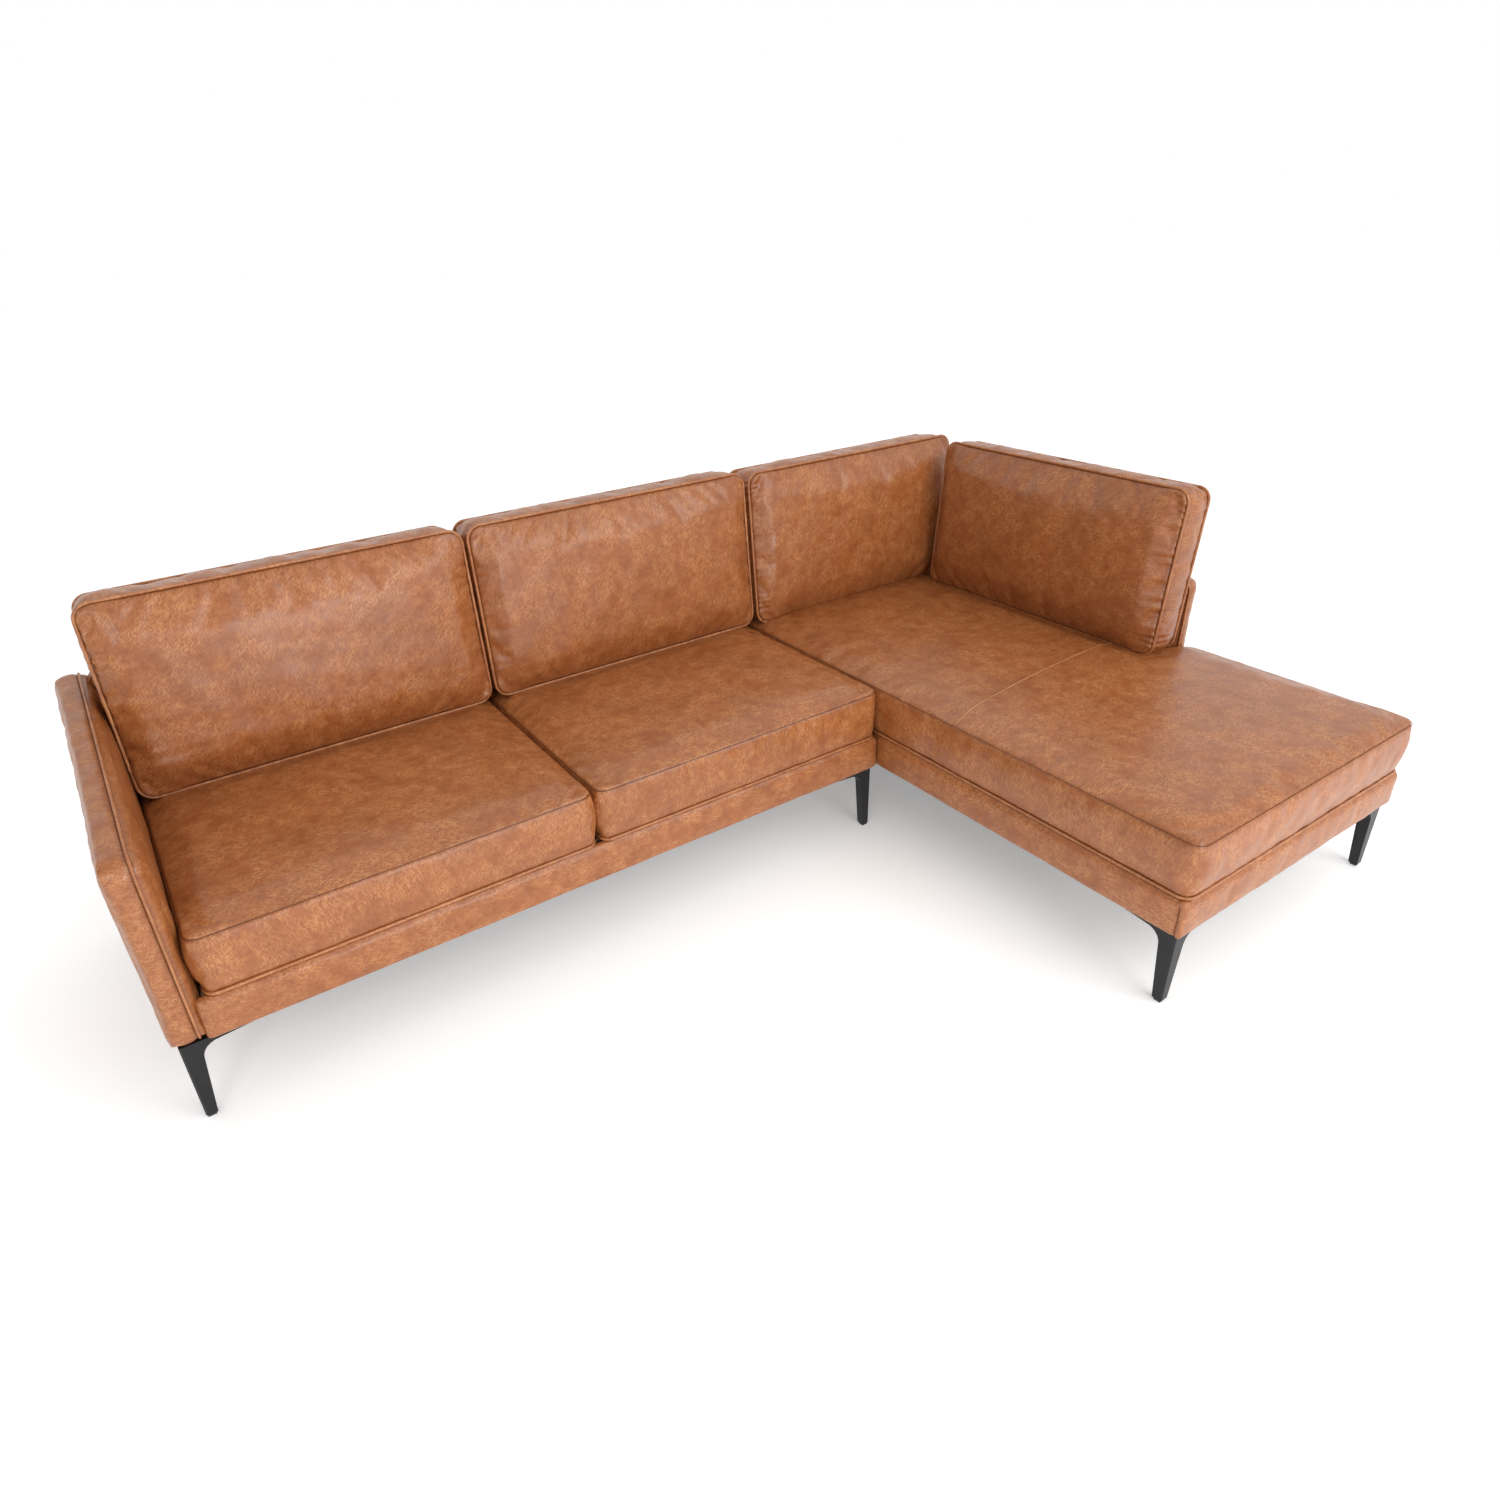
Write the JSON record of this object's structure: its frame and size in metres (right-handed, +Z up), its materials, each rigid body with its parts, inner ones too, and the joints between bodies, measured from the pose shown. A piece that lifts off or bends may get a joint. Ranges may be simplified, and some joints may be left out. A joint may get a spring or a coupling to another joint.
{
  "type": "corner sofa",
  "caption": "Corner sofa with a chaise: loose box cushions on an upholstered timber base, slim padded arm, low back walls and cast corner legs.",
  "frame": {"origin": "on the floor, in the middle of the whole footprint", "axes": "+X along the back towards the chaise, +Y towards the back, +Z up"},
  "size_m": [2.662, 1.715, 0.8894],
  "materials": {
    "leather": "worn satin, mottled tan",
    "timber": "raw planed",
    "foam": "open foam",
    "webbing": "woven",
    "dust_cloth": "thin woven",
    "deck_cloth": "woven",
    "black_metal": "satin black paint",
    "glide_plastic": "matte",
    "plain_steel": "zinc plated"
  },
  "bodies": {
    "frame": {"arm_boxing_strip": "leather", "arm_frame": "timber", "arm_inner_pad": "leather", "arm_outer_pad": "leather", "chaise_back_boxing_strip": "leather", "chaise_back_frame": "timber", "chaise_back_inner_pad": "leather", "chaise_back_outer_pad": "leather", "chaise_cross_rails": "timber", "chaise_deck_pad": "deck_cloth", "chaise_dust_cloth": "dust_cloth", "chaise_front_band": "leather", "chaise_front_rail": "timber", "chaise_left_band": "leather", "chaise_left_rail": "timber", "chaise_right_band": "leather", "chaise_right_rail": "timber", "chaise_webbing": "webbing", "frame_screws": "plain_steel", "leg_chaise_front_left": "black_metal", "leg_chaise_front_right": "black_metal", "leg_chaise_rear_left": "black_metal", "leg_chaise_rear_right": "black_metal", "leg_glides": "glide_plastic", "leg_sofa_front_left": "black_metal", "leg_sofa_front_right": "black_metal", "leg_sofa_rear_left": "black_metal", "leg_sofa_rear_right": "black_metal", "side_back_boxing_strip": "leather", "side_back_frame": "timber", "side_back_inner_pad": "leather", "side_back_outer_pad": "leather", "sofa_back_boxing_strip": "leather", "sofa_back_frame": "timber", "sofa_back_inner_pad": "leather", "sofa_back_outer_pad": "leather", "sofa_deck_pad": "deck_cloth", "sofa_dust_cloth": "dust_cloth", "sofa_end_band": "leather", "sofa_end_rail": "timber", "sofa_front_band": "leather", "sofa_front_rail": "timber", "sofa_inner_rails": "timber", "sofa_rear_rail": "timber", "sofa_webbing": "webbing", "unit_connectors": "plain_steel"},
    "seat_left": {"seat_cushion_left": "leather", "seat_core_left": "foam"},
    "seat_middle": {"seat_cushion_middle": "leather", "seat_core_middle": "foam"},
    "seat_chaise": {"seat_cushion_chaise": "leather", "seat_core_chaise": "foam"},
    "back_left": {"back_cushion_left": "leather", "back_core_left": "foam"},
    "back_middle": {"back_cushion_middle": "leather", "back_core_middle": "foam"},
    "back_right": {"back_cushion_right": "leather", "back_core_right": "foam"},
    "side_rest": {"side_cushion": "leather", "side_core": "foam"}
  },
  "joints": [
    {"name": "seat_left_slide", "type": "slide", "parent": "frame", "child": "seat_left", "axis": [0, -1, 0], "range_m": [0, 0.3]},
    {"name": "seat_middle_slide", "type": "slide", "parent": "frame", "child": "seat_middle", "axis": [0, -1, 0], "range_m": [0, 0.3]},
    {"name": "seat_chaise_slide", "type": "slide", "parent": "frame", "child": "seat_chaise", "axis": [0, -1, 0], "range_m": [0, 0.3]},
    {"name": "back_left_lift", "type": "slide", "parent": "frame", "child": "back_left", "axis": [0, 0, 1], "range_m": [0, 0.3]},
    {"name": "back_middle_lift", "type": "slide", "parent": "frame", "child": "back_middle", "axis": [0, 0, 1], "range_m": [0, 0.3]},
    {"name": "back_right_lift", "type": "slide", "parent": "frame", "child": "back_right", "axis": [0, 0, 1], "range_m": [0, 0.3]},
    {"name": "side_rest_lift", "type": "slide", "parent": "frame", "child": "side_rest", "axis": [0, 0, 1], "range_m": [0, 0.3]}
  ]
}
